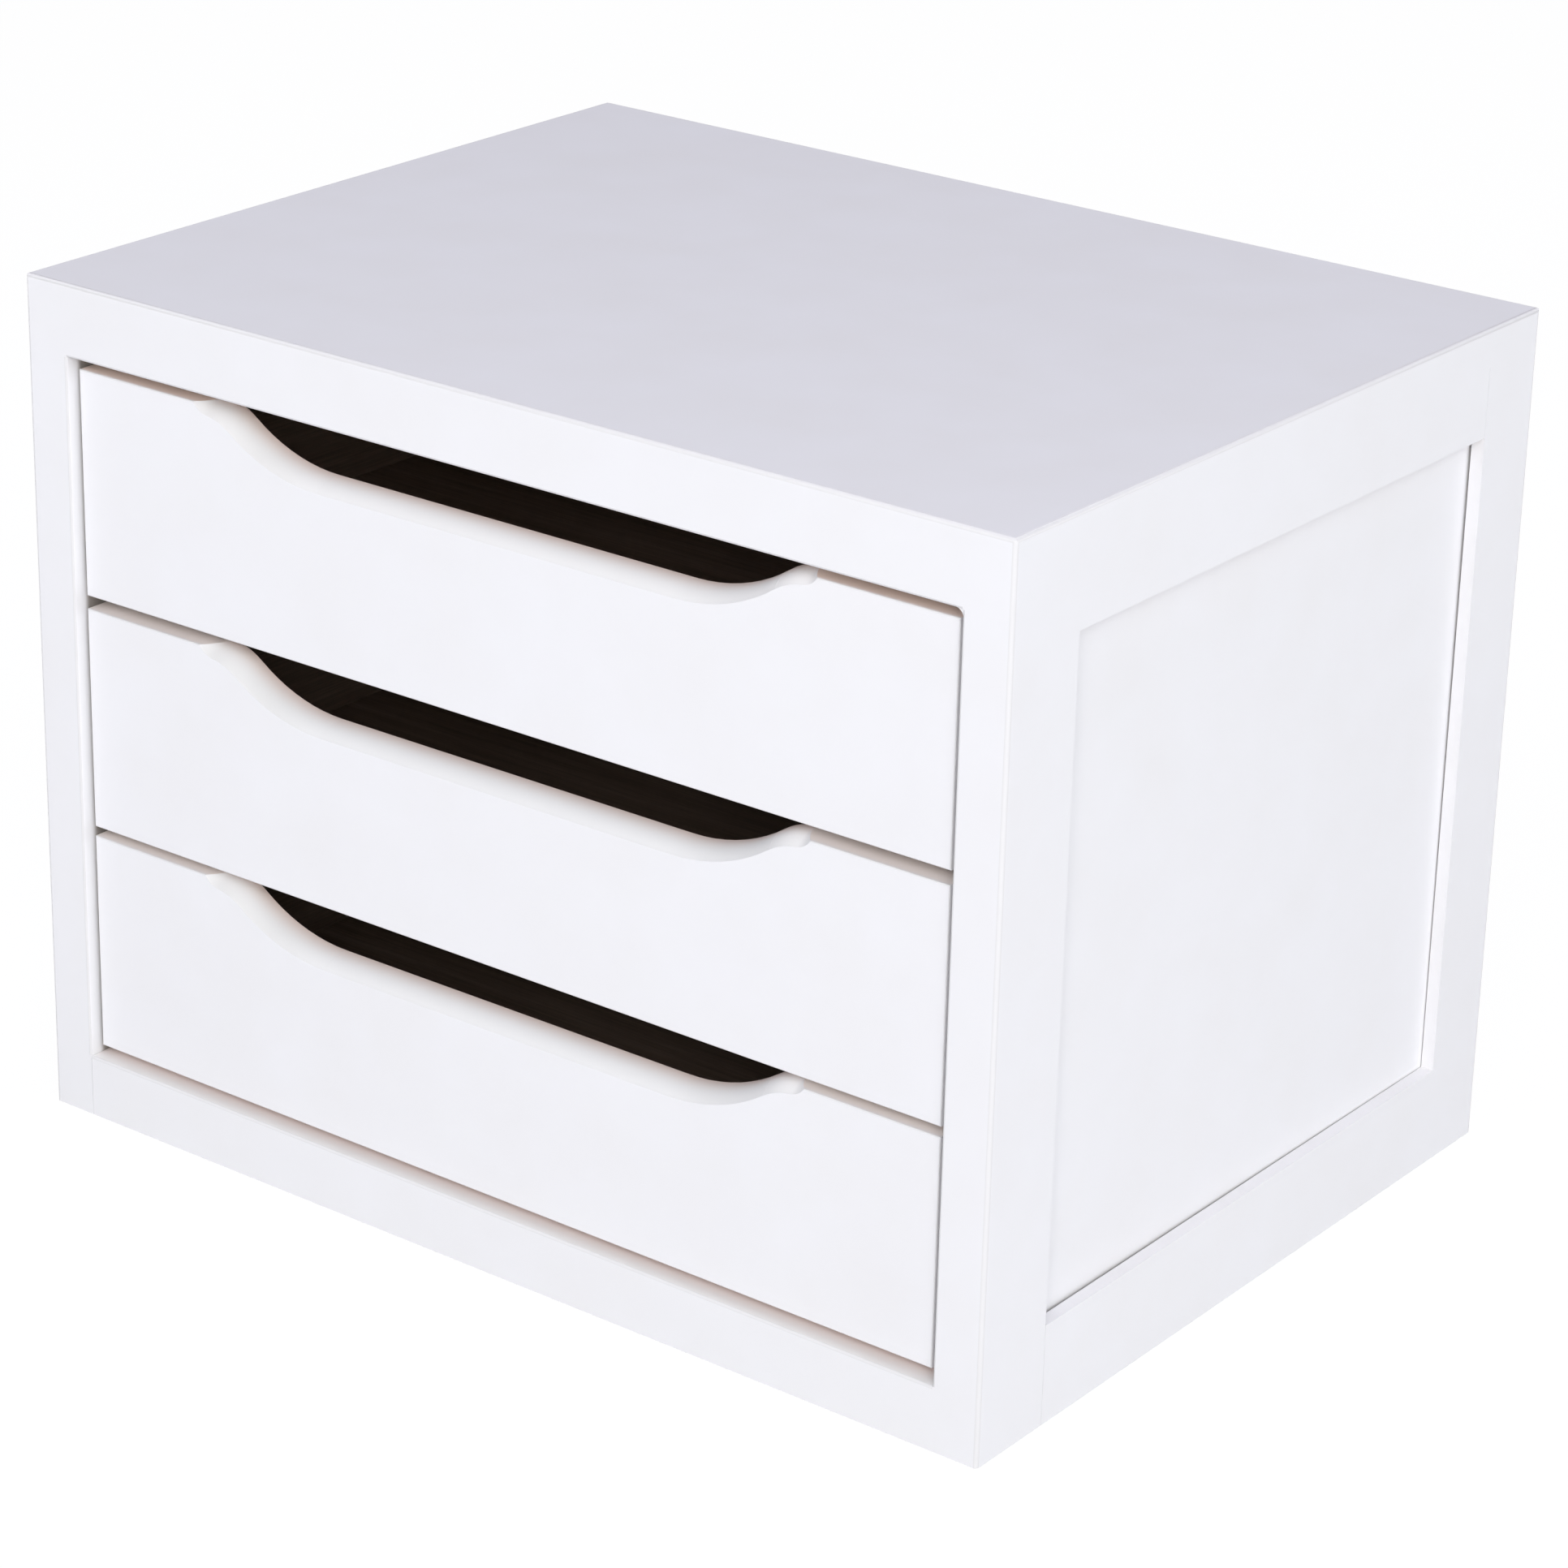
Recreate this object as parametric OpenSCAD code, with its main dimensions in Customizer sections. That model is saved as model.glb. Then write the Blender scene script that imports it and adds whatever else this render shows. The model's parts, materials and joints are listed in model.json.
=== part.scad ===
// Desktop drawer unit: a white painted cabinet with framed and panelled sides and three
// inset drawers, each with a finger pull scooped out of the top edge of its front.
// Sizes are in millimetres. The front faces -Y and +Z is up. The origin lies on the
// floor, midway across the width and the depth.

/* [Cabinet] */
// Width over the side frames
body_w = 360; // [320:1:420]
// Depth from the front frame to the back
body_d = 273; // [250:1:320]
// Thickness of the top board
top_board_t = 12; // [10:0.5:16]
// Radius of the eased outer edges
edge_r = 1.2; // [0.6:0.1:2]
// Radius of the eased edges round the front opening
opening_edge_r = 0.8; // [0.4:0.1:1.5]
// Radius of the filled corner at the opening's top right
opening_corner_r = 3; // [1:0.5:5]

/* [Side frames] */
// Thickness of the posts and side rails
frame_t = 16; // [15:0.5:20]
// Width of the front posts, seen from the side
front_post_w = 31.5; // [29:0.5:36]
// Width of the rear posts, seen from the side
rear_post_w = 28; // [26:0.5:32]
// Height of the side top rails, under the top board
side_top_rail_h = 22; // [20:0.5:26]
// Height of the side bottom rails
side_bottom_rail_h = 32; // [28:0.5:36]
// Width of the hairline left open at the rail joints that show
joint_gap = 0.15; // [0:0.05:0.3]

/* [Side panels] */
// Thickness of the side panels
panel_t = 5; // [3:0.5:6]
// How far the panel groove lies in from the outside
panel_lip = 4.2; // [3:0.1:5]
// Play of a panel in its groove, on each face
panel_play = 1; // [0.9:0.1:1.2]
// Depth of the panel groove
panel_groove_depth = 8; // [5:0.5:8.5]
// Space between a panel's edge and the bottom of its groove
panel_edge_clear = 1; // [0.5:0.5:2]
// How far a panel's front edge stands in and its rear edge out
panel_skew_plan = 0.5; // [0:0.05:0.6]
// How far a panel's top edge stands in and its bottom edge out
panel_skew_height = 0.35; // [0:0.05:0.45]

/* [Front and rear rails] */
// Depth of the front and rear rails
rail_d = 16; // [14:0.5:20]
// Height of the front top rail, under the top board
front_top_rail_h = 11; // [9:0.5:16]
// Height of the front bottom rail
front_bottom_rail_h = 20.5; // [18:0.5:28]

/* [Back and bottom] */
// Thickness of the back panel
back_t = 3.2; // [2.5:0.1:5]
// Width of the rebate that the back panel lies in
back_rebate_w = 8; // [6:0.5:10]
// Play round the back panel's edges
back_play = 0.5; // [0.2:0.1:0.8]
// Thickness of the bottom panel
bottom_t = 4; // [3:0.5:5]
// Height of the bottom panel's underside above the floor
bottom_z = 7; // [5:0.5:9]
// Depth of the grooves that hold the bottom panel
bottom_groove_depth = 6; // [4:0.5:7]
// Play of the bottom panel in its grooves
bottom_play = 0.2; // [0.1:0.1:0.4]

/* [Drawer fronts] */
// Height of a drawer front
front_h = 72; // [66:1:84]
// Thickness of a drawer front
front_t = 10; // [9:0.5:13]
// How far the fronts stand back from the front frame
front_recess = 3.7; // [2:0.1:6]
// Gap at the fronts' left ends
side_gap_left = 1.5; // [1:0.1:2.5]
// Gap at the fronts' right ends
side_gap_right = 3.1; // [1:0.1:3.5]
// Gap under the bottom front
gap_under_bottom = 3; // [2:0.1:6]
// Gap between the bottom and middle fronts
gap_bottom_middle = 3.2; // [2:0.1:6]
// Gap between the middle and top fronts
gap_middle_top = 4.3; // [2:0.1:6]
// Gap over the top front
gap_over_top = 4.3; // [2:0.1:6]
// Radius of a front's eased edges
front_edge_r = 0.4; // [0.2:0.1:1]

/* [Finger pulls] */
// Length of a pull's straight floor
pull_floor_l = 132.5; // [100:0.5:160]
// Depth of a pull below the front's top edge
pull_depth = 14.4; // [8:0.2:18]
// Radius of the hollow curve that rises from the floor
pull_hollow_r = 56; // [30:1:80]
// Radius of the full curve that runs out into the top edge
pull_shoulder_r = 22; // [10:1:36]
// Radius of the wide rounding over a pull's edge, which meets the face at a faint crease
pull_round_r = 15.5; // [14:0.1:24]
// Width of the flat left behind the rounding, at the back of the board
pull_flat = 0.5; // [0.3:0.1:2]
// Radius at which the rounding turns away at a pull's ends
pull_end_r = 4; // [2:0.5:8]

/* [Drawer boxes] */
// Thickness of a drawer's sides and back
side_t = 10; // [9:0.5:12]
// Height of a drawer's sides
side_h = 54; // [46:1:56]
// How far a side's lower edge lies above the front's
side_lift = 4; // [3:0.5:6]
// How far the sides stand in from the front's ends
side_inset = 1; // [0.5:0.1:2]
// Space behind a closed drawer, before the rear rails
rear_clear = 3.3; // [2:0.1:8]
// Thickness of a drawer's base
base_t = 3.2; // [2.5:0.1:4]
// Height of the base above the sides' lower edge
base_lift = 5; // [4:0.5:8]
// Depth of the grooves that hold the base
base_groove_depth = 4.5; // [3:0.5:5]
// Play of the base in its grooves
base_play = 0.15; // [0.1:0.05:0.3]

/* [Runners] */
// Thickness of a runner, out from the posts
runner_t = 7; // [6:0.1:7.5]
// Height of a runner
runner_h = 9; // [7:0.5:12]
// Height of a runner's top above the drawer side's lower edge
runner_top_up = 34; // [28:1:40]
// Depth of the groove in a drawer side that rides on the runner
runner_groove_depth = 5.5; // [5:0.1:6]
// Running clearance over a runner, under the drawer's weight
runner_clear_over = 0.2; // [0.1:0.05:0.4]
// Running clearance under a runner
runner_clear_under = 0.8; // [0.5:0.1:1.5]
// Space between a runner's rear end and the back panel
runner_end_clear = 3; // [1:0.5:8]

/* [Fasteners] */
// Diameter of the dowels
dowel_d = 5; // [4:0.5:6]
// Depth of a dowel in a rail's end
dowel_in_rail = 14; // [10:1:16]
// Depth of a dowel in a post
dowel_in_post = 11; // [8:0.5:12]
// Depth of a dowel in the top board
dowel_in_top = 7; // [5:0.5:8]
// Depth of a drawer's dowel in its front or side board
dowel_in_board = 6; // [5:0.5:7]
// Clearance round a dowel
dowel_clear = 0.05; // [0.02:0.01:0.1]
// Length of a runner screw
screw_l = 18; // [14:1:19]
// Diameter of a runner screw's shank
screw_d = 3; // [2.5:0.5:3.5]
// Diameter of a runner screw's countersunk head
screw_head_d = 5.6; // [5:0.2:6.4]
// Length of a panel nail
nail_l = 12; // [10:1:16]
// Diameter of a panel nail's shank
nail_d = 1.4; // [1:0.1:1.8]
// Diameter of a panel nail's head
nail_head_d = 3; // [2.5:0.1:4]
// Height of a panel nail's tapered head
nail_head_h = 0.8; // [0.5:0.1:1.2]
// Clearance round the screws and nails
pin_clear = 0.05; // [0.02:0.01:0.1]

/* [Hidden] */
$fn = 48;
white = "white";
bare_wood = "burlywood";
steel = "silver";
// A cutter reaches this far past the face that it opens
over = 1;
// Depth left free past a dowel's end
dowel_room = 0.5;
// The pull's curve rises this much over the top edge, so it meets the edge at an angle
pull_rise_over = 0.05;
// The rounding leaves the curve this many degrees before the curve's top
pull_leave = 6;
// The hollow curve's rounding stands this far off the curve and runs this many degrees
// past its end, so that it crosses the next rounding cleanly
pull_slip = 0.05;
pull_lap = 4;

// Drawer heights, counted from 0 at the bottom to 2 at the top
gaps_below = [gap_under_bottom, gap_bottom_middle, gap_middle_top];
function front_z(i) = (i == 0 ? front_bottom_rail_h : front_z(i - 1) + front_h) + gaps_below[i];
function side_z(i) = front_z(i) + side_lift;
function runner_z(i) = side_z(i) + runner_top_up - runner_h;
function base_z(i) = side_z(i) + base_lift;

// Cabinet heights
opening_top_z = front_z(2) + front_h + gap_over_top;
carcass_z = opening_top_z + front_top_rail_h;
side_top_z = carcass_z - side_top_rail_h;

// Cabinet faces
half_w = body_w / 2;
post_x = half_w - frame_t;
front_y = -body_d / 2;
rear_y = body_d / 2;
side_rail_y0 = front_y + front_post_w;
side_rail_y1 = rear_y - rear_post_w;

// Side panel and its groove, on the right side
groove_x1 = half_w - panel_lip;
groove_x0 = groove_x1 - panel_t - 2 * panel_play;
groove_y0 = side_rail_y0 - panel_groove_depth;
groove_y1 = side_rail_y1 + panel_groove_depth;
groove_z0 = side_bottom_rail_h - panel_groove_depth;
groove_z1 = side_top_z + panel_groove_depth;
panel_d = groove_y1 - groove_y0 - 2 * panel_edge_clear;
panel_h = groove_z1 - groove_z0 - 2 * panel_edge_clear;

// Back panel's rebate and bottom panel's grooves
back_x1 = post_x + back_rebate_w;
back_z0 = side_bottom_rail_h - back_rebate_w;
back_z1 = side_top_z + back_rebate_w;
back_y = rear_y - back_t;
bottom_top_z = bottom_z + bottom_t;

// Drawers
front_w = 2 * post_x - side_gap_left - side_gap_right;
drawer_x = (side_gap_left - side_gap_right) / 2;
front_face_y = front_y + front_recess;
front_back_y = front_face_y + front_t;
box_x1 = front_w / 2 - side_inset;
box_x0 = box_x1 - side_t;
box_y1 = rear_y - rail_d - rear_clear;

// Finger pull: the hollow and full curves meet where both have turned by pull_turn
pull_half = pull_floor_l / 2;
pull_turn = acos(1 - (pull_depth + pull_rise_over) / (pull_hollow_r + pull_shoulder_r));
pull_bend_x = pull_half + pull_hollow_r * sin(pull_turn);
pull_bend_z = pull_hollow_r * (1 - cos(pull_turn)) - pull_depth;
pull_end_x = pull_half + (pull_hollow_r + pull_shoulder_r) * sin(pull_turn);

// Fastener positions
frame_dowel_x = half_w - frame_t / 2;
side_dowel_z = [(bottom_top_z + groove_z0) / 2, (groove_z1 + carcass_z) / 2];
front_dowel_z = [(bottom_top_z + front_bottom_rail_h) / 2, carcass_z - front_top_rail_h / 2];
rear_dowel_z = [(bottom_top_z + back_z0) / 2, carcass_z - side_top_rail_h / 2];
rear_dowel_y = (rear_y - rail_d + back_y) / 2;
screw_ys = [(front_back_y + groove_y0) / 2, rear_y - rear_post_w / 2];
nail_inset = (back_rebate_w + back_play) / 2;

// A box between two opposite corners
module block(low, high) {
    translate(low) cube(high - low);
}

// Draws the children on the right, or mirrored on the left when side is -1
module on_side(side) {
    if (side > 0) children(); else mirror([1, 0, 0]) children();
}

module both_sides() {
    on_side(-1) children();
    on_side(1) children();
}

// What a quarter round of radius r takes off a square corner at the origin
module corner_waste(r) {
    difference() {
        translate([-over, -over]) square(r + over);
        translate([r, r]) circle(r);
    }
}

// A rectangle from the origin, with the corners flagged in eased rounded; they are
// counted from the origin, anticlockwise
module eased_rect(w, d, r, eased) {
    difference() {
        square([w, d]);
        for (k = [0 : 3]) if (eased[k])
            translate([k == 1 || k == 2 ? w : 0, k > 1 ? d : 0]) rotate(90 * k) corner_waste(r);
    }
}

// Dowels between two depths along an axis, wider and longer when they cut the holes
module x_dowel(x0, x1, y, z, clear, room) {
    translate([x0 - room, y, z]) rotate([0, 90, 0])
        cylinder(h = x1 - x0 + 2 * room, d = dowel_d + 2 * clear);
}

module y_dowel(x, y0, y1, z, clear, room) {
    translate([x, y0 - room, z]) rotate([-90, 0, 0])
        cylinder(h = y1 - y0 + 2 * room, d = dowel_d + 2 * clear);
}

module z_dowel(x, y, z0, z1, clear, room) {
    translate([x, y, z0 - room]) cylinder(h = z1 - z0 + 2 * room, d = dowel_d + 2 * clear);
}

// Dowels between the right side's rails and posts
module side_rail_dowels(clear = 0, room = 0) {
    for (z = side_dowel_z) {
        y_dowel(frame_dowel_x, side_rail_y0 - dowel_in_post, side_rail_y0 + dowel_in_rail,
            z, clear, room);
        y_dowel(frame_dowel_x, side_rail_y1 - dowel_in_rail, side_rail_y1 + dowel_in_post,
            z, clear, room);
    }
}

// Dowels between the front and rear rails and the right posts
module front_rail_dowels(clear = 0, room = 0) {
    for (z = front_dowel_z)
        x_dowel(post_x - dowel_in_rail, post_x + dowel_in_post, front_y + rail_d / 2,
            z, clear, room);
}

module rear_rail_dowels(clear = 0, room = 0) {
    for (z = rear_dowel_z)
        x_dowel(post_x - dowel_in_rail, post_x + dowel_in_post, rear_dowel_y, z, clear, room);
}

// Upright dowels between the right top rail and the top board
module top_board_dowels(clear = 0, room = 0) {
    for (t = [1 / 4, 3 / 4])
        z_dowel(frame_dowel_x, side_rail_y0 + t * (side_rail_y1 - side_rail_y0),
            carcass_z - dowel_in_post, carcass_z + dowel_in_top, clear, room);
}

module frame_dowels() {
    color(bare_wood) both_sides() {
        side_rail_dowels();
        front_rail_dowels();
        rear_rail_dowels();
        top_board_dowels();
    }
}

// A screw or nail along +Z, with the face of its tapered head at the origin
module headed_pin(l, d, head_d, head_h, clear) {
    cylinder(h = l + clear, d = d + 2 * clear);
    cylinder(h = head_h, d1 = head_d + 2 * clear, d2 = d + 2 * clear);
    if (clear > 0) translate([0, 0, -over]) cylinder(h = over, d = head_d + 2 * clear);
}

module nail(clear) {
    headed_pin(nail_l, nail_d, nail_head_d, nail_head_h, clear);
}

// Screws through a right runner into both posts
module runner_screw_pair(i, clear = 0) {
    for (y = screw_ys)
        translate([post_x - runner_t, y, runner_z(i) + runner_h / 2]) rotate([0, 90, 0])
            headed_pin(screw_l, screw_d, screw_head_d, (screw_head_d - screw_d) / 2, clear);
}

module runner_screws() {
    color(steel) both_sides() for (i = [0 : 2]) runner_screw_pair(i);
}

// Nails through the back panel into the posts and rails
module back_nail_set(clear = 0) {
    for (side = [-1, 1], t = [0.1, 0.37, 0.63, 0.9])
        translate([side * (back_x1 - nail_inset), rear_y, back_z0 + t * (back_z1 - back_z0)])
            rotate([90, 0, 0]) nail(clear);
    for (z = [back_z0 + nail_inset, back_z1 - nail_inset], t = [-0.5, 0, 0.5])
        translate([t * back_x1, rear_y, z]) rotate([90, 0, 0]) nail(clear);
}

module back_nails() {
    color(steel) back_nail_set();
}

module top_board() {
    color(white) difference() {
        intersection() {
            translate([-half_w, front_y, carcass_z]) linear_extrude(top_board_t)
                eased_rect(body_w, body_d, edge_r, [true, true, true, true]);
            translate([-half_w, rear_y, carcass_z]) rotate([90, 0, 0]) linear_extrude(body_d)
                eased_rect(body_w, top_board_t, edge_r, [false, false, true, true]);
            translate([-half_w, front_y, carcass_z]) rotate([90, 0, 90]) linear_extrude(body_w)
                eased_rect(body_d, top_board_t, edge_r, [false, false, true, true]);
        }
        both_sides() top_board_dowels(dowel_clear, dowel_room);
    }
}

// The right side's panel groove, along a stretch of a post or rail
module panel_groove(y0, y1, z0, z1) {
    block([groove_x0, y0, z0], [groove_x1, y1, z1]);
}

module front_post() {
    color(white) difference() {
        translate([post_x, front_y, 0]) linear_extrude(carcass_z)
            eased_rect(frame_t, front_post_w, edge_r, [false, true, false, false]);
        panel_groove(groove_y0, side_rail_y0 + over, groove_z0, groove_z1);
        translate([post_x, front_y, front_bottom_rail_h])
            linear_extrude(opening_top_z - front_bottom_rail_h) corner_waste(opening_edge_r);
        side_rail_dowels(dowel_clear, dowel_room);
        front_rail_dowels(dowel_clear, dowel_room);
        for (i = [0 : 2]) runner_screw_pair(i, pin_clear);
    }
}

module rear_post() {
    color(white) difference() {
        translate([post_x, side_rail_y1, 0]) linear_extrude(carcass_z)
            eased_rect(frame_t, rear_post_w, edge_r, [false, false, true, false]);
        panel_groove(side_rail_y1 - over, groove_y1, groove_z0, groove_z1);
        block([post_x - over, back_y, back_z0], [back_x1, rear_y + over, back_z1]);
        side_rail_dowels(dowel_clear, dowel_room);
        rear_rail_dowels(dowel_clear, dowel_room);
        back_nail_set(pin_clear);
        for (i = [0 : 2]) runner_screw_pair(i, pin_clear);
    }
}

module side_top_rail() {
    color(white) difference() {
        block([post_x, side_rail_y0, side_top_z], [half_w, side_rail_y1 - joint_gap, carcass_z]);
        panel_groove(side_rail_y0 - over, side_rail_y1 + over, side_top_z - over, groove_z1);
        side_rail_dowels(dowel_clear, dowel_room);
        top_board_dowels(dowel_clear, dowel_room);
    }
}

module side_bottom_rail() {
    color(white) difference() {
        block([post_x, side_rail_y0 + joint_gap, 0], [half_w, side_rail_y1, side_bottom_rail_h]);
        panel_groove(side_rail_y0 - over, side_rail_y1 + over,
            groove_z0, side_bottom_rail_h + over);
        bottom_grooves();
        side_rail_dowels(dowel_clear, dowel_room);
    }
}

// A side panel floats in its grooves, a little askew
module side_panel() {
    color(white)
        translate([(groove_x0 + groove_x1) / 2, (groove_y0 + groove_y1) / 2,
            (groove_z0 + groove_z1) / 2])
            rotate([0, -asin(2 * panel_skew_height / panel_h), -asin(2 * panel_skew_plan / panel_d)])
                cube([panel_t, panel_d, panel_h], center = true);
}

// A rail between the posts, from x0 on its left
module cross_rail(x0, y0, z0, z1) {
    block([x0, y0, z0], [post_x, y0 + rail_d, z1]);
}

// Eases a front rail's edge at the opening, in the rail above it or the one below
module rail_easing(z, above) {
    translate([-half_w, front_y, z]) rotate([90, 0, 90]) linear_extrude(body_w)
        rotate(above ? 0 : -90) corner_waste(opening_edge_r);
}

module front_top_rail() {
    color(white) {
        difference() {
            cross_rail(-post_x, front_y, opening_top_z, carcass_z);
            rail_easing(opening_top_z, true);
            both_sides() front_rail_dowels(dowel_clear, dowel_room);
        }
        opening_corner_fill();
    }
}

// Filled corner of the opening, between the eased edges and the drawer front
module opening_corner_fill() {
    translate([post_x - opening_corner_r, front_face_y, opening_top_z - opening_corner_r])
        rotate([90, 0, 0]) linear_extrude(front_recess - opening_edge_r) difference() {
            square(opening_corner_r);
            circle(opening_corner_r);
        }
}

module front_bottom_rail() {
    color(white) difference() {
        cross_rail(-post_x + joint_gap, front_y, 0, front_bottom_rail_h);
        rail_easing(front_bottom_rail_h, false);
        bottom_grooves();
        both_sides() front_rail_dowels(dowel_clear, dowel_room);
    }
}

module rear_rail(z0, z1) {
    color(white) difference() {
        cross_rail(-post_x, rear_y - rail_d, z0, z1);
        block([-half_w, back_y, back_z0], [half_w, rear_y + over, back_z1]);
        bottom_grooves();
        back_nail_set(pin_clear);
        both_sides() rear_rail_dowels(dowel_clear, dowel_room);
    }
}

// Grooves in the bottom rails for the bottom panel
module bottom_grooves() {
    x = post_x + bottom_groove_depth;
    block([-x, front_y + rail_d - bottom_groove_depth, bottom_z - bottom_play],
        [x, rear_y - rail_d + bottom_groove_depth, bottom_top_z + bottom_play]);
}

// The bottom panel is notched round the posts
module bottom_panel() {
    x = post_x + bottom_groove_depth - bottom_play;
    y0 = front_y + rail_d - bottom_groove_depth + bottom_play;
    y1 = rear_y - rail_d + bottom_groove_depth - bottom_play;
    color(bare_wood) difference() {
        block([-x, y0, bottom_z], [x, y1, bottom_top_z]);
        both_sides() {
            block([post_x - bottom_play, y0 - over, bottom_z - over],
                [half_w, side_rail_y0 + bottom_play, bottom_top_z + over]);
            block([post_x - bottom_play, side_rail_y1 - bottom_play, bottom_z - over],
                [half_w, y1 + over, bottom_top_z + over]);
        }
    }
}

module back_panel() {
    color(bare_wood) difference() {
        block([-back_x1 + back_play, back_y, back_z0 + back_play],
            [back_x1 - back_play, rear_y, back_z1 - back_play]);
        back_nail_set(pin_clear);
    }
}

// A right runner; its front end is also the stop for the drawer front
module runner(i) {
    color(bare_wood) difference() {
        block([post_x - runner_t, front_back_y, runner_z(i)],
            [post_x, back_y - runner_end_clear, runner_z(i) + runner_h]);
        runner_screw_pair(i, pin_clear);
    }
}

// Finger pull outline about the middle of a front's top edge: a straight floor, hollow
// curves that rise from it and full curves that run out into the edge
module pull_outline() {
    translate([-pull_bend_x, pull_bend_z]) square([2 * pull_bend_x, over - pull_bend_z]);
    translate([-pull_half, -pull_depth]) square([pull_floor_l, pull_depth]);
    both_sides() {
        intersection() {
            translate([pull_half, pull_hollow_r - pull_depth]) circle(pull_hollow_r);
            translate([pull_half, -pull_depth])
                square([pull_bend_x - pull_half, pull_bend_z + pull_depth]);
        }
        difference() {
            translate([pull_bend_x, pull_bend_z])
                square([pull_end_x - pull_bend_x, over - pull_bend_z]);
            translate([pull_end_x, pull_rise_over - pull_shoulder_r]) circle(pull_shoulder_r);
        }
    }
}

// Waste between a pull's edge and its wide rounding: x runs into the wood and y into the
// board from the face
module lip_waste() {
    y = front_t - pull_flat;
    difference() {
        translate([-over, -over]) square([pull_round_r + over, y + over]);
        translate([pull_round_r, y]) circle(pull_round_r);
    }
}

// Rounds a pull's edge along an arc about the origin, with the wood outside the arc, or
// inside it when inward is true
module pull_arc_round(r, inward, from, turn) {
    rotate([90, 0, 0]) rotate(from) rotate_extrude(angle = turn)
        translate([r, 0]) scale([inward ? -1 : 1, -1]) lip_waste();
}

// Cutter for a finger pull, with its wide rounding; the face lies at y = 0
module pull_cutter() {
    translate([0, front_t + over, 0]) rotate([90, 0, 0])
        linear_extrude(front_t + 2 * over) pull_outline();
    translate([-pull_half, 0, -pull_depth]) rotate([0, 90, 0])
        linear_extrude(pull_floor_l) lip_waste();
    both_sides() {
        translate([pull_half, 0, pull_hollow_r - pull_depth])
            pull_arc_round(pull_hollow_r - pull_slip, false, -90, pull_turn + pull_lap);
        translate([pull_end_x, 0, pull_rise_over - pull_shoulder_r]) {
            pull_arc_round(pull_shoulder_r, true, 90 + pull_leave, pull_turn - pull_leave);
            rotate([0, -pull_leave, 0]) translate([0, 0, pull_shoulder_r + pull_end_r])
                pull_arc_round(pull_end_r, false, -90, 90);
        }
    }
}

module drawer_front(i) {
    color(white) difference() {
        translate([drawer_x - front_w / 2, front_face_y, front_z(i)]) intersection() {
            linear_extrude(front_h)
                eased_rect(front_w, front_t, front_edge_r, [true, true, false, false]);
            rotate([90, 0, 90]) linear_extrude(front_w)
                eased_rect(front_t, front_h, front_edge_r, [true, false, false, true]);
        }
        translate([drawer_x, front_face_y, front_z(i) + front_h]) pull_cutter();
        base_block(i, base_groove_depth, base_play);
        drawer_dowel_set(i, dowel_clear, dowel_room);
    }
}

// One side board: side is -1 for the left and 1 for the right
module drawer_side(i, side) {
    color(bare_wood) difference() {
        translate([drawer_x, 0, 0]) on_side(side) difference() {
            block([box_x0, front_back_y, side_z(i)], [box_x1, box_y1, side_z(i) + side_h]);
            block([box_x1 - runner_groove_depth, front_back_y - over,
                runner_z(i) - runner_clear_under],
                [box_x1 + over, box_y1 + over, runner_z(i) + runner_h + runner_clear_over]);
        }
        base_block(i, base_groove_depth, base_play);
        drawer_dowel_set(i, dowel_clear, dowel_room);
    }
}

// The back stands on the base, between the sides
module drawer_back(i) {
    color(bare_wood) difference() {
        translate([drawer_x, 0, 0]) block([-box_x0, box_y1 - side_t, base_z(i) + base_t],
            [box_x0, box_y1, side_z(i) + side_h]);
        drawer_dowel_set(i, dowel_clear, dowel_room);
        drawer_nail_set(i, pin_clear);
    }
}

// The base reaches into the front and the sides and runs out under the back; the
// grooves for it are cut with some play
module base_block(i, reach, play) {
    x = box_x0 + reach;
    translate([drawer_x, 0, 0]) block([-x, front_back_y - reach, base_z(i) - play],
        [x, box_y1 + (play > 0 ? over : 0), base_z(i) + base_t + play]);
}

module drawer_base(i) {
    color(bare_wood) difference() {
        base_block(i, base_groove_depth - base_play, 0);
        drawer_nail_set(i, pin_clear);
    }
}

// Two dowels join each side to the front and two join it to the back
module drawer_dowel_set(i, clear = 0, room = 0) {
    heights = [base_z(i) + base_t + dowel_d, side_z(i) + side_h - dowel_d];
    translate([drawer_x, 0, 0]) both_sides() for (z = heights) {
        y_dowel(box_x1 - side_t / 2, front_back_y - dowel_in_board,
            front_back_y + dowel_in_rail, z, clear, room);
        x_dowel(box_x0 - dowel_in_rail, box_x0 + dowel_in_board, box_y1 - side_t / 2,
            z, clear, room);
    }
}

module drawer_dowels(i) {
    color(bare_wood) drawer_dowel_set(i);
}

// Nails up through the base into the back
module drawer_nail_set(i, clear = 0) {
    for (t = [-0.6, 0, 0.6])
        translate([drawer_x + t * box_x1, box_y1 - side_t / 2, base_z(i)]) nail(clear);
}

module drawer_nails(i) {
    color(steel) drawer_nail_set(i);
}

top_board();
bottom_panel();
back_panel();
on_side(-1) front_post();  // front_left_post
on_side(1) front_post();  // front_right_post
on_side(-1) rear_post();  // rear_left_post
on_side(1) rear_post();  // rear_right_post
on_side(-1) side_top_rail();  // left_top_rail
on_side(-1) side_bottom_rail();  // left_bottom_rail
on_side(1) side_top_rail();  // right_top_rail
on_side(1) side_bottom_rail();  // right_bottom_rail
on_side(-1) side_panel();  // left_side_panel
on_side(1) side_panel();  // right_side_panel
front_top_rail();
front_bottom_rail();
rear_rail(side_top_z, carcass_z);  // rear_top_rail
rear_rail(0, side_bottom_rail_h);  // rear_bottom_rail
on_side(-1) runner(0);  // bottom_left_runner
on_side(1) runner(0);  // bottom_right_runner
on_side(-1) runner(1);  // middle_left_runner
on_side(1) runner(1);  // middle_right_runner
on_side(-1) runner(2);  // top_left_runner
on_side(1) runner(2);  // top_right_runner
frame_dowels();
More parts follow.
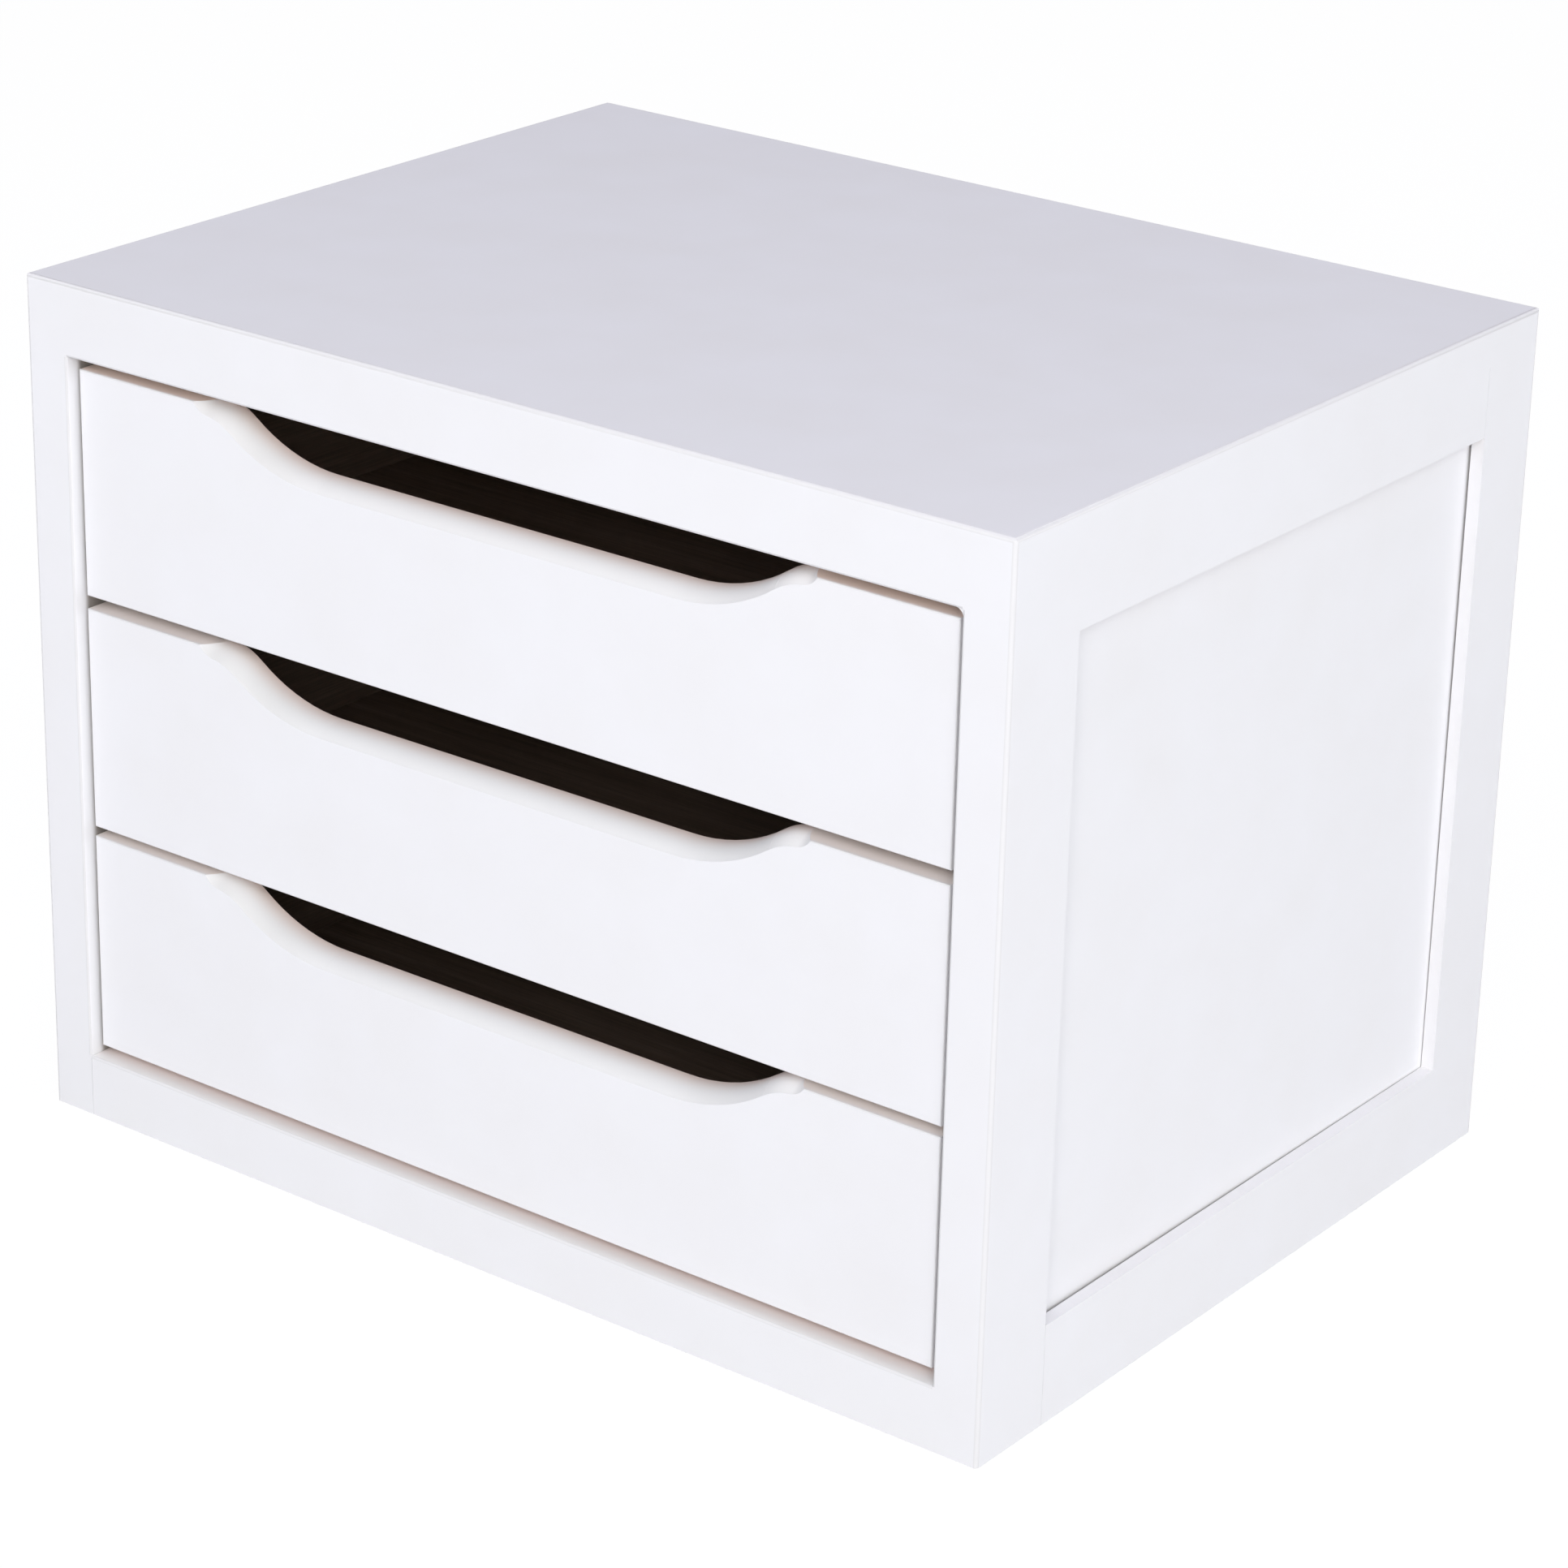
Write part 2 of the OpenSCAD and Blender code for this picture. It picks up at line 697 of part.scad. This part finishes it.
runner_screws();
back_nails();
drawer_front(0);  // bottom_drawer_front
drawer_side(0, -1);  // bottom_drawer_left_side
drawer_side(0, 1);  // bottom_drawer_right_side
drawer_back(0);  // bottom_drawer_back
drawer_base(0);  // bottom_drawer_base
drawer_dowels(0);  // bottom_drawer_dowels
drawer_nails(0);  // bottom_drawer_nails
drawer_front(1);  // middle_drawer_front
drawer_side(1, -1);  // middle_drawer_left_side
drawer_side(1, 1);  // middle_drawer_right_side
drawer_back(1);  // middle_drawer_back
drawer_base(1);  // middle_drawer_base
drawer_dowels(1);  // middle_drawer_dowels
drawer_nails(1);  // middle_drawer_nails
drawer_front(2);  // top_drawer_front
drawer_side(2, -1);  // top_drawer_left_side
drawer_side(2, 1);  // top_drawer_right_side
drawer_back(2);  // top_drawer_back
drawer_base(2);  // top_drawer_base
drawer_dowels(2);  // top_drawer_dowels
drawer_nails(2);  // top_drawer_nails
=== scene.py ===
import json
import math
import bpy
import bmesh
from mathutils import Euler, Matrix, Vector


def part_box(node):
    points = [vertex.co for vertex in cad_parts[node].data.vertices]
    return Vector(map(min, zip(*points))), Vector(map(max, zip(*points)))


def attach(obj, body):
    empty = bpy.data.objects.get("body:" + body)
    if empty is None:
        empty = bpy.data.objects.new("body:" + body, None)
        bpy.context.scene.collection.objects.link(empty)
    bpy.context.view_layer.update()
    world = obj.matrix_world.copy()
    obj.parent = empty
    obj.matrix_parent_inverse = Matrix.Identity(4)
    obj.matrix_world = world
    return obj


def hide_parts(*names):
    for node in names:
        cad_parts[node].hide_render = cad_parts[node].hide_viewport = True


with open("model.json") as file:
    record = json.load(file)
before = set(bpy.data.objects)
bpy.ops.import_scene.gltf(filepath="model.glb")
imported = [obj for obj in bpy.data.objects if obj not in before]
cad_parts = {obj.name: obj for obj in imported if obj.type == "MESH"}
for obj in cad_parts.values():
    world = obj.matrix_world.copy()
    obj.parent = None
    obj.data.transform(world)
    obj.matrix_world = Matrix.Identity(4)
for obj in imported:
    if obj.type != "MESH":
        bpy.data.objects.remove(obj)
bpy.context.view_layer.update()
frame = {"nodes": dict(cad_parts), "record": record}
scene = bpy.context.scene
mm = 0.001
print("drawer unit:", len(frame["nodes"]), "nodes loaded")


# sRGB hex to the linear colour that the shaders take
def linear(code):
    values = [int(code[i:i + 2], 16) / 255 for i in (1, 3, 5)]
    return tuple(v / 12.92 if v <= 0.04045 else ((v + 0.055) / 1.055) ** 2.4 for v in values) + (1.0,)


# adds a shader node: settings are its own properties, sockets are values or other nodes' outputs
def addNode(tree, kind, settings=None, sockets=None):
    made = tree.nodes.new("ShaderNode" + kind)
    for key, value in (settings or {}).items():
        setattr(made, key, value)
    for key, value in (sockets or {}).items():
        if isinstance(value, bpy.types.NodeSocket):
            tree.links.new(value, made.inputs[key])
        else:
            made.inputs[key].default_value = value
    return made


def newMaterial(name):
    material = bpy.data.materials.new(name)
    material.use_nodes = True
    material.node_tree.nodes.clear()
    return material, material.node_tree


paint = {
    "colour": "#F3F2F5",
    "mottle": "#EFEDEE",        # the other end of the slow change of tint over a board
    "mottleSize": 28.0,         # mm
    "mottleDetail": 2.0,
    "shadedArris": "#E5E3E4",         # over the rounded edges: painted shade that tones down their highlights
    "grainWidth": 0.9,          # mm, across the grain that is just felt through the paint
    "grainLength": 45.0,        # mm
    "grainHeight": 0.012,       # mm
    "grainDetail": 3.0,
    "grainMix": 0.55,           # how much the finer grain counts
    "reliefStrength": 0.6,
    "roughness": (0.36, 0.46),  # satin, uneven along the grain
    "ior": 1.47,
}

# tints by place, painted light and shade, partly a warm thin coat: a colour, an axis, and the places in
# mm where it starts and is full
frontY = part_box("front_left_post")[0].y / mm    # the frame's front
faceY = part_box("top_drawer_front")[0].y / mm    # the drawers' faces
paintedLightAndThinPaint = {
    "plain": [],
    "shadedArris": [],
    # the rounding of the pull: painted light at the crease, painted shade greying it to its left end, and
    # warmer towards the back, a thin coat with painted shade
    "lip": [
        ("#F8F7F8", "Y", faceY - 1.0, faceY + 1.0),
        ("#E8E7E7", "X", -66.0, -92.0),
        ("#F4DED4", "Y", faceY + 3.0, faceY + 12.0),
    ],
    # the edges in the gaps between the drawer fronts: warmer behind the face, a thin coat with painted
    # shade in the gaps
    "edge": [("#F3EAE5", "Y", faceY - 0.5, faceY + 2.0)],
    # the top front's upper edge: warmer behind the face, a thin coat with painted shade under the rail
    "underRail": [("#F3E0D4", "Y", faceY - 0.5, faceY + 2.0)],
    # the underside of what is over the opening: warmer deeper in, a thin coat with a painted warm shade
    # in the gap
    "soffit": [("#F5E9E1", "Y", frontY + 0.5, frontY + 6.0)],
    # the sides of the opening: painted light at the front, painted shade in the gap beside the fronts
    "opening": [
        ("#F8F7F9", "Y", frontY - 1.0, frontY + 0.5),
        ("#958E89", "Y", frontY + 3.8, frontY + 6.4),
    ],
    # the rail under the lowest front: painted light at its front, warmer behind, a thin coat with painted
    # shade, and painted shade deep in the gap
    "sill": [
        ("#F7F4F3", "Y", frontY - 4.0, frontY + 1.0),
        ("#F0E0DB", "Y", frontY + 1.0, frontY + 9.5),
        ("#A8A09E", "Y", frontY + 12.0, frontY + 16.0),
    ],
}


# Satin white paint sprayed over sanded wood: a soft sheen, the grain just felt along each board,
# and tints by place that paint light and shade, partly a warm thin coat
def satinWhitePaint(place, axis):
    material, tree = newMaterial("SatinWhitePaint_" + place + "XYZ"[axis])
    where = addNode(tree, "TexCoord")
    stretch = [1 / (paint["grainWidth"] * mm)] * 3
    stretch[axis] = 1 / (paint["grainLength"] * mm)
    grainPlace = addNode(tree, "Mapping", {}, {"Vector": where.outputs["Object"], "Scale": stretch})
    grain = addNode(tree, "TexNoise", {}, {"Vector": grainPlace.outputs[0], "Scale": 1.0,
        "Detail": paint["grainDetail"], "Roughness": paint["grainMix"]})
    mottle = addNode(tree, "TexNoise", {}, {"Vector": where.outputs["Object"],
        "Scale": 1 / (paint["mottleSize"] * mm), "Detail": paint["mottleDetail"]})
    pale, dull = ("shadedArris", "shadedArris") if place == "shadedArris" else ("colour", "mottle")
    tint = addNode(tree, "Mix", {"data_type": "RGBA"}, {"Factor": mottle.outputs["Fac"],
        "A": linear(paint[pale]), "B": linear(paint[dull])})
    spot = addNode(tree, "SeparateXYZ", {}, {"Vector": where.outputs["Object"]})
    # each tint mixes in painted shade, painted light or a warm thin coat by place along one axis
    for paintedTint, along, start, full in paintedLightAndThinPaint[place]:
        share = addNode(tree, "MapRange", {"interpolation_type": "SMOOTHSTEP"},
            {"Value": spot.outputs[along], "From Min": start * mm, "From Max": full * mm})
        tint = addNode(tree, "Mix", {"data_type": "RGBA"}, {"Factor": share.outputs[0],
            "A": tint.outputs["Result"], "B": linear(paintedTint)})
    gloss = addNode(tree, "MapRange", {}, {"Value": grain.outputs["Fac"],
        "To Min": paint["roughness"][0], "To Max": paint["roughness"][1]})
    relief = addNode(tree, "Bump", {}, {"Height": grain.outputs["Fac"],
        "Strength": paint["reliefStrength"], "Distance": paint["grainHeight"] * mm})
    shader = addNode(tree, "BsdfPrincipled", {}, {"Base Color": tint.outputs["Result"],
        "Roughness": gloss.outputs[0], "Normal": relief.outputs[0], "IOR": paint["ior"]})
    addNode(tree, "OutputMaterial", {}, {"Surface": shader.outputs[0]})
    return material


wood = {
    "early": "#937F70",
    "late": "#6F5D50",
    "ringWidth": 5.0,           # mm, a unit of the rings' noise across the board
    "ringScale": 0.5,
    "ringSquash": 0.04,         # how far the rings are drawn out along the board
    "ringDetail": 4.0,
    "ringWander": 0.6,
    "fibreWidth": 0.5,          # mm
    "fibreSquash": 0.02,
    "fibreDetail": 2.0,
    "contrast": (0.12, 0.42),   # the noise values that turn to the late and the early colour
    "reliefHeight": 0.03,       # mm
    "reliefStrength": 0.5,
    "roughness": 0.62,
}


# Boards of a brown wood, sanded and left bare: dull, with growth rings and fibres along the board
def bareWood(axis):
    material, tree = newMaterial("BareWood" + "XYZ"[axis])
    where = addNode(tree, "TexCoord")
    ringStretch = [1 / (wood["ringWidth"] * mm)] * 3
    ringStretch[axis] *= wood["ringSquash"]
    ringPlace = addNode(tree, "Mapping", {}, {"Vector": where.outputs["Object"], "Scale": ringStretch})
    rings = addNode(tree, "TexNoise", {}, {"Vector": ringPlace.outputs[0], "Scale": wood["ringScale"],
        "Detail": wood["ringDetail"], "Distortion": wood["ringWander"]})
    fibreStretch = [1 / (wood["fibreWidth"] * mm)] * 3
    fibreStretch[axis] *= wood["fibreSquash"]
    fibrePlace = addNode(tree, "Mapping", {}, {"Vector": where.outputs["Object"], "Scale": fibreStretch})
    fibres = addNode(tree, "TexNoise", {}, {"Vector": fibrePlace.outputs[0], "Scale": 1.0,
        "Detail": wood["fibreDetail"]})
    both = addNode(tree, "Math", {"operation": "MULTIPLY"},
        {0: rings.outputs["Fac"], 1: fibres.outputs["Fac"]})
    spread = addNode(tree, "MapRange", {}, {"Value": both.outputs[0],
        "From Min": wood["contrast"][0], "From Max": wood["contrast"][1]})
    tint = addNode(tree, "Mix", {"data_type": "RGBA"}, {"Factor": spread.outputs[0],
        "A": linear(wood["late"]), "B": linear(wood["early"])})
    relief = addNode(tree, "Bump", {}, {"Height": fibres.outputs["Fac"],
        "Strength": wood["reliefStrength"], "Distance": wood["reliefHeight"] * mm})
    shader = addNode(tree, "BsdfPrincipled", {}, {"Base Color": tint.outputs["Result"],
        "Roughness": wood["roughness"], "Normal": relief.outputs[0]})
    addNode(tree, "OutputMaterial", {}, {"Surface": shader.outputs[0]})
    return material


steel = {
    "colour": "#A9ABAE",
    "roughness": (0.30, 0.46),
    "spangle": 1.2,             # mm, size of the patches of the zinc
}


# Zinc-plated steel pins: a dull grey metal, a little uneven
def zincPlatedSteel():
    material, tree = newMaterial("ZincPlatedSteel")
    where = addNode(tree, "TexCoord")
    spangle = addNode(tree, "TexNoise", {}, {"Vector": where.outputs["Object"],
        "Scale": 1 / (steel["spangle"] * mm)})
    gloss = addNode(tree, "MapRange", {}, {"Value": spangle.outputs["Fac"],
        "To Min": steel["roughness"][0], "To Max": steel["roughness"][1]})
    shader = addNode(tree, "BsdfPrincipled", {}, {"Base Color": linear(steel["colour"]),
        "Metallic": 1.0, "Roughness": gloss.outputs[0]})
    addNode(tree, "OutputMaterial", {}, {"Surface": shader.outputs[0]})
    return material


woods = [bareWood(axis) for axis in range(3)]
zinc = zincPlatedSteel()
coats = {}


# the coat for one kind of face on a board whose grain runs along axis
def coat(place, axis):
    if place == "bare":
        return woods[axis]
    if (place, axis) not in coats:
        coats[place, axis] = satinWhitePaint(place, axis)
    return coats[place, axis]


# the axis that a board's grain runs along
def grainAxis(name):
    low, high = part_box(name)
    size = high - low
    return max(range(3), key=lambda i: size[i])


# how the faces of a board are told apart: lengths and heights in mm
faceRules = {
    "flat": 0.9999,             # a normal this near an axis belongs to a flat face
    "steep": 0.9,               # and this near it to a face or its rounded edge
    "pullMargin": 40.0,         # the pull lies further than this from both ends of the front
    "pullDepth": 20.0,          # and within this of its top edge
    "topEdge": 0.41,            # a flat face this near the top is the edge beside the pull
    "underRail": 240.0,         # a flat edge higher than this is the top front's upper one
    "sideReach": 100.0,         # a board whose middle is further out than this is one of a side
    "thin": 30.0,               # boards that lie over and under the opening are thinner than this
    "sillTop": 40.0,            # and their middle is lower than this
    "soffitFoot": 200.0,        # or higher than this
}


# what kind of coat a drawer front has on a face
def frontPlace(low, high, normal, centre):
    if normal.y < -faceRules["flat"]:
        return "plain"
    if normal.y > faceRules["flat"]:
        return "bare"
    margin = faceRules["pullMargin"] * mm
    overPull = low.x + margin < centre.x < high.x - margin
    inPull = overPull and centre.z > high.z - faceRules["pullDepth"] * mm and normal.z > 0
    onEdge = centre.z > high.z - faceRules["topEdge"] * mm and normal.z > faceRules["flat"]
    if inPull and not onEdge:
        return "lip"
    if abs(normal.z) > faceRules["flat"]:
        return "underRail" if centre.z > faceRules["underRail"] * mm else "edge"
    return "plain" if abs(normal.x) > faceRules["flat"] else "shadedArris"


# what kind of coat a cabinet board has on a face: inside the opening the tints paint light and shade
def cabinetPlace(low, high, normal, centre):
    middle = (low + high) / 2
    inward = normal.x * middle.x < 0 and abs(normal.x) > faceRules["steep"]
    if inward and abs(middle.x) > faceRules["sideReach"] * mm:
        return "opening"
    thin = high.z - low.z < faceRules["thin"] * mm
    if thin and middle.z < faceRules["sillTop"] * mm and normal.z > faceRules["flat"]:
        return "sill"
    if thin and middle.z > faceRules["soffitFoot"] * mm and normal.z < -faceRules["steep"]:
        return "soffit"
    return "plain" if max(abs(v) for v in normal) > faceRules["flat"] else "shadedArris"


board = {
    "weld": 0.0005,             # mm, corners nearer than this are one
    "joinAngle": 0.2,           # degrees, triangles flatter than this to each other become one face
    "straight": 0.99999,        # faces whose normal is this near an axis are shaded flat
    "creaseAngle": 30.0,        # degrees, edges sharper than this stay sharp
}


# a CAD board as a piece of its own, with its rounded edges shaded smooth and its coats face by face
def dressBoard(name, body):
    work = bmesh.new()
    work.from_mesh(frame["nodes"][name].data)
    bmesh.ops.remove_doubles(work, verts=work.verts, dist=board["weld"] * mm)
    bmesh.ops.dissolve_limit(work, angle_limit=math.radians(board["joinAngle"]), verts=work.verts,
        edges=work.edges)
    work.normal_update()
    low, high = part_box(name)
    axis = grainAxis(name)
    choose = frontPlace if name.endswith("drawer_front") else cabinetPlace
    used = []
    for face in work.faces:
        face.smooth = max(abs(v) for v in face.normal) < board["straight"]
        material = coat(choose(low, high, face.normal, face.calc_center_median()), axis)
        if material not in used:
            used.append(material)
        face.material_index = used.index(material)
    crease = math.radians(board["creaseAngle"])
    for edge in work.edges:
        edge.smooth = len(edge.link_faces) == 2 and edge.calc_face_angle(0) < crease
    mesh = bpy.data.meshes.new(name)
    work.to_mesh(mesh)
    work.free()
    for material in used:
        mesh.materials.append(material)
    piece = bpy.data.objects.new("painted_" + name, mesh)
    scene.collection.objects.link(piece)
    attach(piece, body)
    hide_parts(name)


slots = {part["node"]: part["material_slot"] for part in frame["record"]["subparts"]}
for body, members in frame["record"]["behaviour"]["bodies"].items():
    for name in members:
        if slots[name] == "white_paint":
            dressBoard(name, body)
            continue
        finish = zinc if slots[name] == "steel" else woods[grainAxis(name)]
        mesh = frame["nodes"][name].data
        mesh.materials.clear()
        mesh.materials.append(finish)
print("drawer unit: boards dressed")

# soft boxes: bearing in degrees round from the front to the right, rise in degrees over level,
# away and size in metres, power in watts. Gloss doesn't mirror the two in front, which would burn
# out the top seen from behind.
softBoxes = {
    "key": {
        "bearing": 38.0, "rise": 20.0, "away": 4.2, "size": 2.2,
        "power": 74.3, "colour": "#FFFFF6", "mirrored": False,
    },
    "upper": {
        "bearing": 42.0, "rise": 35.0, "away": 4.2, "size": 2.6,
        "power": 58.2, "colour": "#F3F5FF", "mirrored": False,
    },
    "top": {
        "bearing": 180.0, "rise": 75.0, "away": 3.4, "size": 1.8,
        "power": 39.3, "colour": "#ECEAFF", "mirrored": True,
    },
    "side": {
        "bearing": 92.0, "rise": 16.0, "away": 3.6, "size": 1.8,
        "power": 37.4, "colour": "#F7FCFF", "mirrored": True,
    },
    "left": {
        "bearing": -25.0, "rise": 28.0, "away": 3.0, "size": 2.2,
        "power": 30.9, "colour": "#F4F8FF", "mirrored": True,
    },
}
aim = Vector((0.0, 0.0, 0.12))      # the boxes point here, near the unit's middle


# a soft box pointed at the unit
def addSoftBox(name, box):
    data = bpy.data.lights.new(name, "AREA")
    data.shape = "SQUARE"
    data.size = box["size"]
    data.energy = box["power"]
    data.color = linear(box["colour"])[:3]
    bearing = math.radians(box["bearing"])
    rise = math.radians(box["rise"])
    level = math.cos(rise)
    outward = Vector((math.sin(bearing) * level, -math.cos(bearing) * level, math.sin(rise)))
    lamp = bpy.data.objects.new(name, data)
    lamp.location = aim + box["away"] * outward
    lamp.rotation_euler = (-outward).to_track_quat("-Z", "Y").to_euler()
    lamp.visible_glossy = box["mirrored"]
    scene.collection.objects.link(lamp)


air = {
    "colour": "#FFFFFF",
    "strength": 0.12,           # what the unit gets from all round
    "backdrop": 1.0,            # what the camera sees there
}


# a dim world for the unit and a white one for the camera
def addWorld():
    world = bpy.data.worlds.new("studio")
    scene.world = world
    world.use_nodes = True
    tree = world.node_tree
    tree.nodes.clear()
    path = addNode(tree, "LightPath")
    lit = addNode(tree, "Background", {}, {"Color": linear(air["colour"]), "Strength": air["strength"]})
    plain = addNode(tree, "Background", {}, {"Color": linear(air["colour"]), "Strength": air["backdrop"]})
    mix = addNode(tree, "MixShader", {},
        {0: path.outputs["Is Camera Ray"], 1: lit.outputs[0], 2: plain.outputs[0]})
    addNode(tree, "OutputWorld", {}, {"Surface": mix.outputs[0]})


paper = {
    "colour": "#F7F7F8",
    "bounce": "#C2C2C6",        # what it throws back on the unit, as a large grey studio floor would
    "glow": 0.94,               # share of its look that stays plain white, so that a faint shadow is left
    "glowColour": "#FFFFFF",
    "glowStrength": 1.02,
    "reach": 6.0,               # m, from the middle to each side
    "cells": 4,
}


# Matt studio paper: near white to the eye, with a faint shadow on it
def studioPaper():
    material, tree = newMaterial("StudioPaper")
    path = addNode(tree, "LightPath")
    seen = addNode(tree, "Math", {"operation": "MAXIMUM"},
        {0: path.outputs["Is Camera Ray"], 1: path.outputs["Is Glossy Ray"]})
    tone = addNode(tree, "Mix", {"data_type": "RGBA"}, {"Factor": seen.outputs[0],
        "A": linear(paper["bounce"]), "B": linear(paper["colour"])})
    matt = addNode(tree, "BsdfDiffuse", {}, {"Color": tone.outputs["Result"]})
    glow = addNode(tree, "Emission", {}, {"Color": linear(paper["glowColour"]),
        "Strength": paper["glowStrength"]})
    share = addNode(tree, "Math", {"operation": "MULTIPLY"}, {0: seen.outputs[0], 1: paper["glow"]})
    mix = addNode(tree, "MixShader", {}, {0: share.outputs[0], 1: matt.outputs[0], 2: glow.outputs[0]})
    addNode(tree, "OutputMaterial", {}, {"Surface": mix.outputs[0]})
    return material


def addFloor():
    work = bmesh.new()
    bmesh.ops.create_grid(work, x_segments=paper["cells"], y_segments=paper["cells"], size=paper["reach"])
    mesh = bpy.data.meshes.new("floor")
    work.to_mesh(mesh)
    work.free()
    mesh.materials.append(studioPaper())
    floor = bpy.data.objects.new("floor", mesh)
    scene.collection.objects.link(floor)


# the photograph's view: 37 degrees round to the unit's right, 22 degrees down
shot = {
    "place": (832.07, -1100.63, 686.66),    # mm
    "turn": (67.4865, -1.2837, 37.4645),    # degrees
    "lens": 110.34,             # mm, on a sensor of 36 mm
    "sensor": 36.0,
    "near": 0.01,               # m
}


def addCamera():
    data = bpy.data.cameras.new("camera")
    data.sensor_width = shot["sensor"]
    data.lens = shot["lens"]
    data.clip_start = shot["near"]
    camera = bpy.data.objects.new("camera", data)
    camera.location = Vector(shot["place"]) * mm
    camera.rotation_euler = Euler([math.radians(v) for v in shot["turn"]], "XYZ")
    scene.collection.objects.link(camera)
    scene.camera = camera


for name, box in softBoxes.items():
    addSoftBox(name, box)
addWorld()
addFloor()
addCamera()
scene.view_settings.view_transform = "Standard"
print("drawer unit: studio set")
